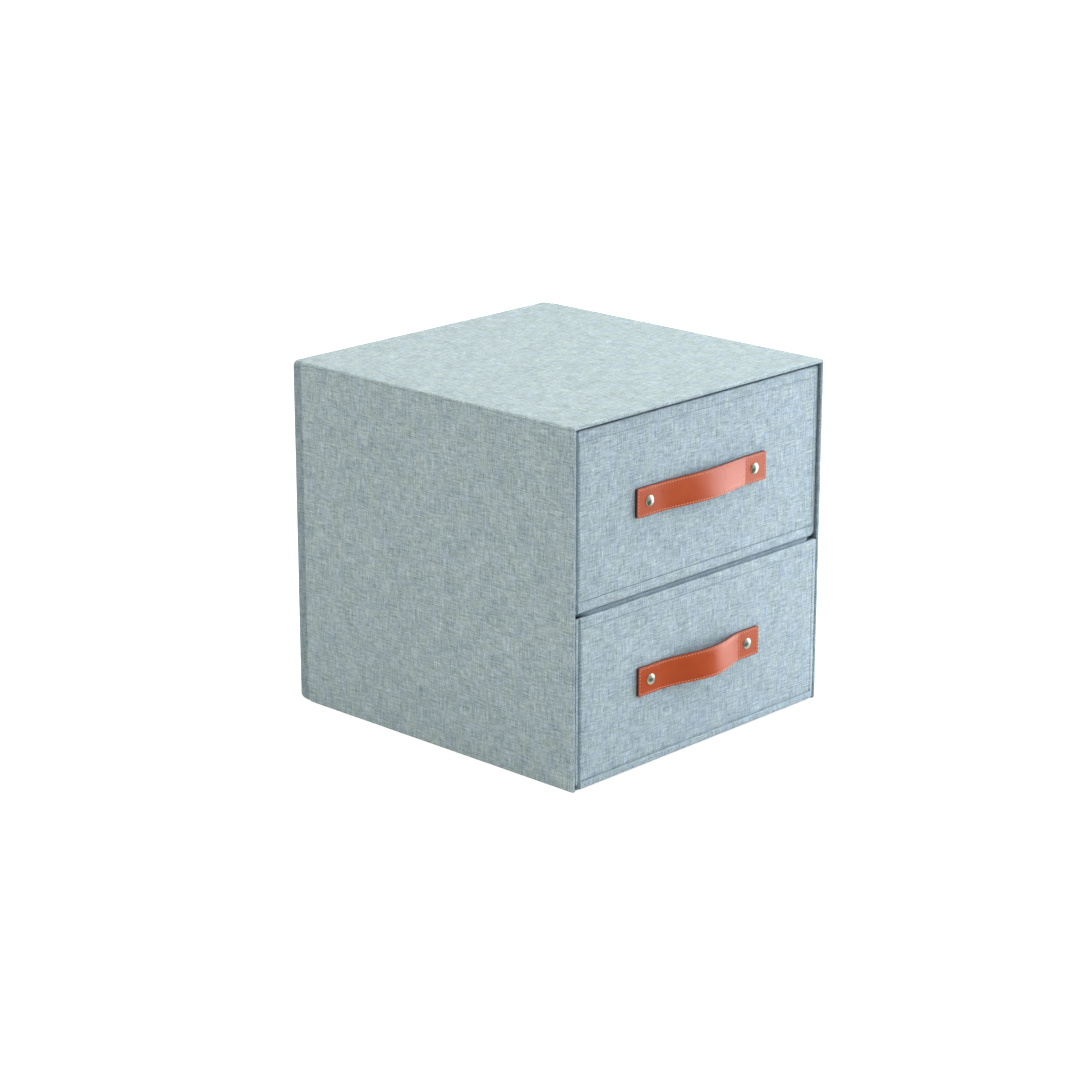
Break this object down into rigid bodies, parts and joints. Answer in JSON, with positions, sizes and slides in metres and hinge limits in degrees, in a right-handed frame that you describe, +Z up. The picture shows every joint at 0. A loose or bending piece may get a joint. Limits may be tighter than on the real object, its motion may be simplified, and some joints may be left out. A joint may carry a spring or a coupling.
{
  "type": "file box with drawers",
  "caption": "Fabric-covered desktop file box with stacked drawers that slide out by leather strap handles",
  "frame": {"origin": "Centre of the case's underside, on the face that it rests on", "axes": "+Z up, -Y towards the drawers' fronts, +X to the right as seen from the front"},
  "size_m": [0.305, 0.3333, 0.298],
  "materials": {
    "linen": "matt woven, pale blue-grey",
    "lining": "matt plain weave, pale blue-grey",
    "board": "matt grey board",
    "leather": "smooth tan, soft sheen",
    "rivet": "polished nickel"
  },
  "bodies": {
    "case": {"case_back_board": "board", "case_base_cloth": "linen", "case_bottom_board": "board", "case_left_board": "board", "case_linen_wrap": "linen", "case_lining": "lining", "case_right_board": "board", "case_top_board": "board", "shelf_board": "board", "shelf_linen_sleeve": "linen"},
    "upper_drawer": {"upper_back_board": "board", "upper_floor_board": "board", "upper_front_board": "board", "upper_handle_backing": "leather", "upper_handle_strap": "leather", "upper_left_board": "board", "upper_linen_cover": "linen", "upper_lining": "lining", "upper_right_board": "board", "upper_rivets": "rivet"},
    "lower_drawer": {"lower_back_board": "board", "lower_floor_board": "board", "lower_front_board": "board", "lower_handle_backing": "leather", "lower_handle_strap": "leather", "lower_left_board": "board", "lower_linen_cover": "linen", "lower_lining": "lining", "lower_right_board": "board", "lower_rivets": "rivet"}
  },
  "joints": [
    {"name": "upper_drawer_slide", "type": "slide", "parent": "case", "child": "upper_drawer", "axis": [0, -1, 0], "range_m": [0, 0.26]},
    {"name": "lower_drawer_slide", "type": "slide", "parent": "case", "child": "lower_drawer", "axis": [0, -1, 0], "range_m": [0, 0.26]}
  ]
}
